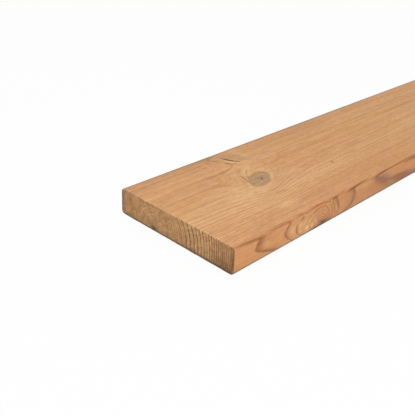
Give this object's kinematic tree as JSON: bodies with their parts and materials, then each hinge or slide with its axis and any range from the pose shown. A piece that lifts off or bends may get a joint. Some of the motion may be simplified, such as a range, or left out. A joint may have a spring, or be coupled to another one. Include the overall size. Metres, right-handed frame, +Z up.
{
  "type": "timber plank",
  "caption": "Flat planed softwood plank with rounded long edges and square-sawn ends, for decking, cladding, shelving and general carpentry.",
  "frame": {"origin": "middle of the underside, halfway along the length and across the width, on the surface that the plank lies on", "axes": "+X along the grain and the length, +Y across the width, +Z up through the thickness"},
  "size_m": [1.8, 0.145, 0.027],
  "materials": {
    "planed_softwood": "planed bare softwood, warm tan, with growth rings, grey-green knots and browner sawn ends"
  },
  "bodies": {
    "root": {"plank": "planed_softwood"}
  },
  "joints": []
}
